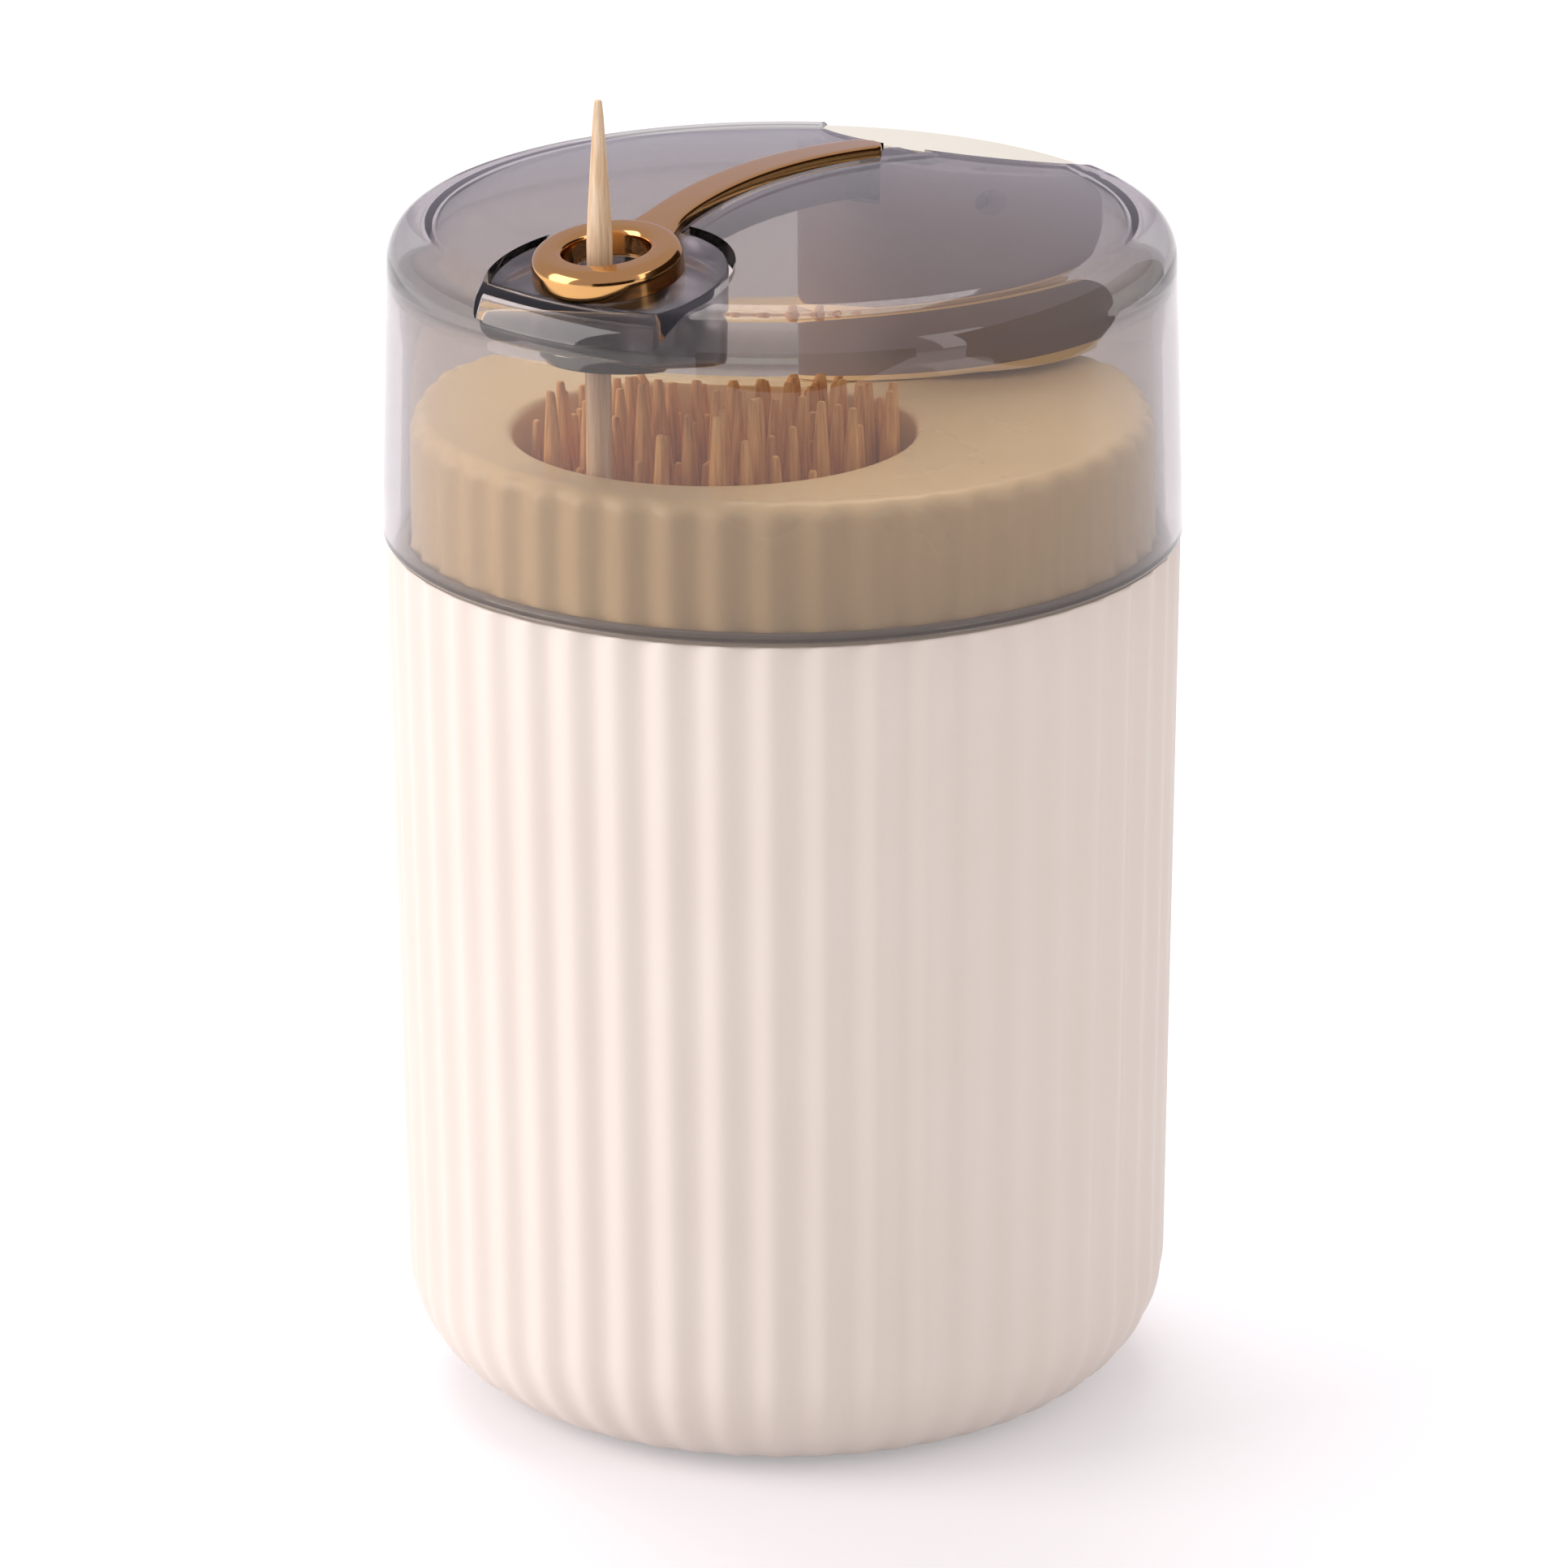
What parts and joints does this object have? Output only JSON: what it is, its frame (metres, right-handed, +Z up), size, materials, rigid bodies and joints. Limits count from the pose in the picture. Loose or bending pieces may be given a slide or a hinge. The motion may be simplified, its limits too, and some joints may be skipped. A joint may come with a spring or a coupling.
{
  "type": "toothpick dispenser",
  "caption": "Round toothpick dispenser with a fluted cup, a clear domed lift-off lid and a see-saw press pad that raises a pick through a gold ring.",
  "frame": {"origin": "middle of the flat foot, on the surface that it stands on", "axes": "+Z up along the body's axis; -Y towards the gold ring and its pick, +Y towards the press pad; +X along the rocker's pin"},
  "size_m": [0.07, 0.07, 0.122],
  "materials": {
    "ivory_plastic": "satin moulded",
    "smoky_plastic": "clear smoky gloss",
    "gold_plating": "polished gold-coloured plating",
    "steel": "zinc-bright",
    "clear_silicone": "soft translucent grey",
    "birch_wood": "plain tumbled birch"
  },
  "bodies": {
    "base": {"outer_body": "ivory_plastic", "foot_ring": "clear_silicone", "neck_collar": "ivory_plastic", "pick_cup": "ivory_plastic", "cup_floor": "ivory_plastic", "cup_screws": "steel", "toothpick_bundle": "birch_wood", "rim_gasket": "clear_silicone"},
    "lid": {"lid_shell": "smoky_plastic", "mechanism_housing": "ivory_plastic", "housing_cover": "ivory_plastic", "housing_screws": "steel", "pivot_pin": "steel", "return_spring": "steel"},
    "rocker": {"rocker_arm": "smoky_plastic", "guide_funnel": "smoky_plastic", "pick_grip": "clear_silicone", "gold_ring_trim": "gold_plating", "press_pad": "ivory_plastic", "pad_screws": "steel"},
    "pick": {"dispensed_toothpick": "birch_wood"}
  },
  "joints": [
    {"name": "lid_lift", "type": "slide", "parent": "base", "child": "lid", "axis": [0, 0, 1], "range_m": [0, 0.05]},
    {"name": "rocker_tilt", "type": "hinge", "parent": "lid", "child": "rocker", "pos_m": [0, 0.017, 0.104], "axis": [-1, 0, 0], "range_deg": [0, 8], "stiffness_Nm_per_rad": 0.1, "springref_deg": -5.73, "deforming": ["return_spring"]},
    {"name": "pick_draw", "type": "slide", "parent": "lid", "child": "pick", "axis": [0, 0, 1], "range_m": [0, 0.065]}
  ]
}
